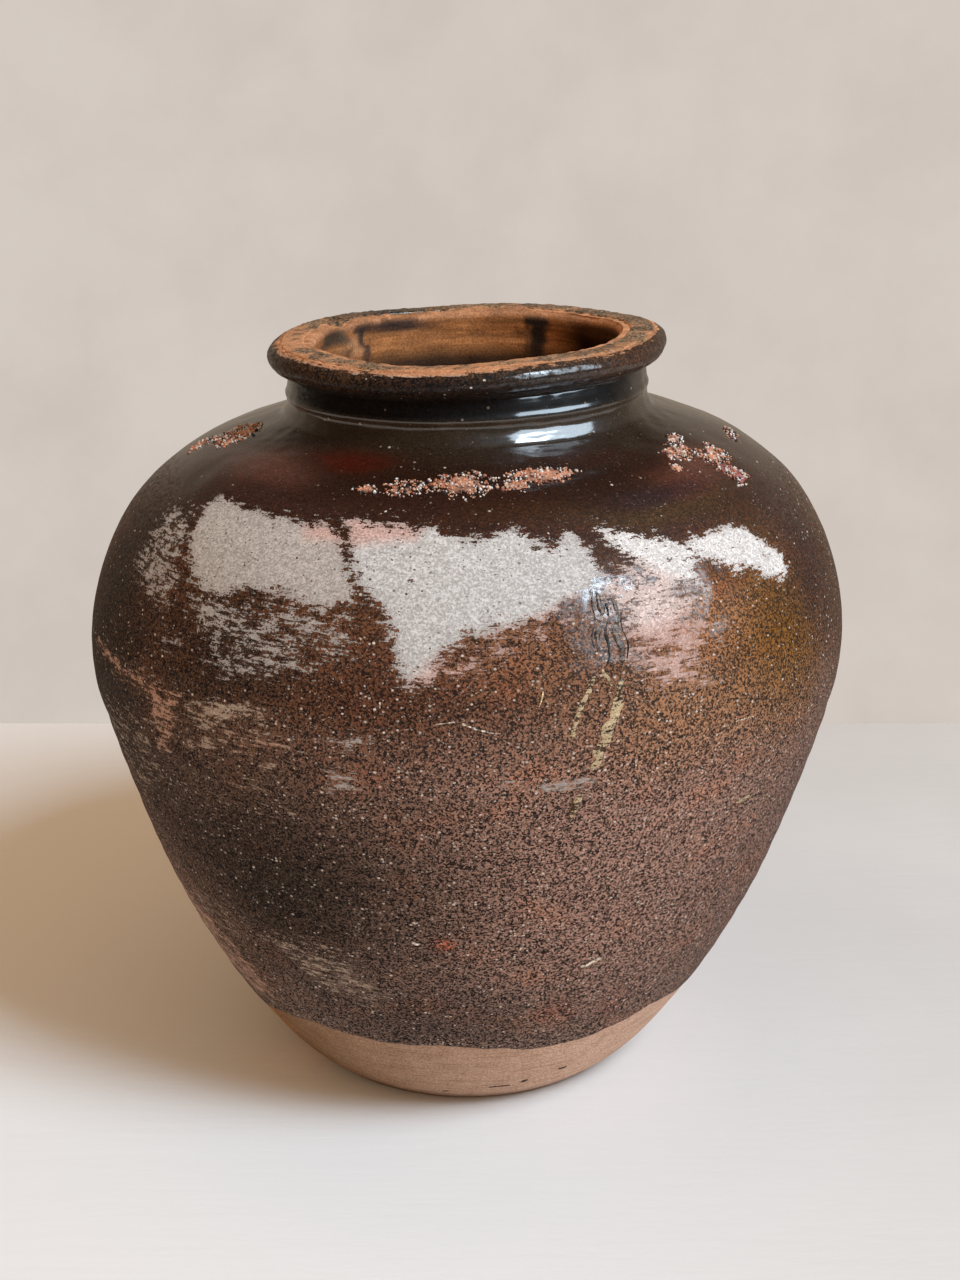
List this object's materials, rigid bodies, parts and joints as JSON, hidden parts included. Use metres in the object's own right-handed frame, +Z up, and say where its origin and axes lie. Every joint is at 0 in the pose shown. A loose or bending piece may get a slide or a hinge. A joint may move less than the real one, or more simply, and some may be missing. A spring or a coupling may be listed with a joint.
{
  "type": "martaban storage jar",
  "caption": "Wide-mouthed stoneware storage jar with a broad shoulder, a narrow foot, a short neck and a rolled rim; dark poured glaze over iron slip, kiln scars round the shoulder.",
  "frame": {"origin": "centre of the flat resting face, on the jar's axis", "axes": "+Z up along the jar's axis, towards the mouth; -Y is the side that the picture shows"},
  "size_m": [0.3502, 0.3502, 0.348],
  "materials": {
    "stoneware": "bare, sandy",
    "inner_clay": "bare, brushed",
    "iron_slip": "matt, sandy",
    "dark_glaze": "glossy, worn",
    "lip_glaze": "satin, pitted",
    "pooled_glaze": "glossy, wrinkled",
    "wad_grit": "rough grit"
  },
  "bodies": {
    "root": {"base_slab": "stoneware", "foot_wall": "stoneware", "lower_wall": "inner_clay", "belly_wall": "inner_clay", "shoulder_wall": "inner_clay", "neck_collar": "inner_clay", "rim_roll": "inner_clay", "floor_coil": "inner_clay", "foot_seam_coil": "inner_clay", "lower_seam_coil": "inner_clay", "shoulder_seam_coil": "inner_clay", "neck_seam_coil": "inner_clay", "iron_slip": "iron_slip", "poured_glaze": "dark_glaze", "lip_glaze": "lip_glaze", "glaze_trickle": "pooled_glaze", "wad_scar_left": "wad_grit", "wad_scar_front_left": "wad_grit", "wad_scar_front_right": "wad_grit", "wad_scar_right": "wad_grit", "wad_scar_far_right": "wad_grit", "wad_scar_back_right": "wad_grit", "wad_scar_back_left": "wad_grit"}
  },
  "joints": []
}
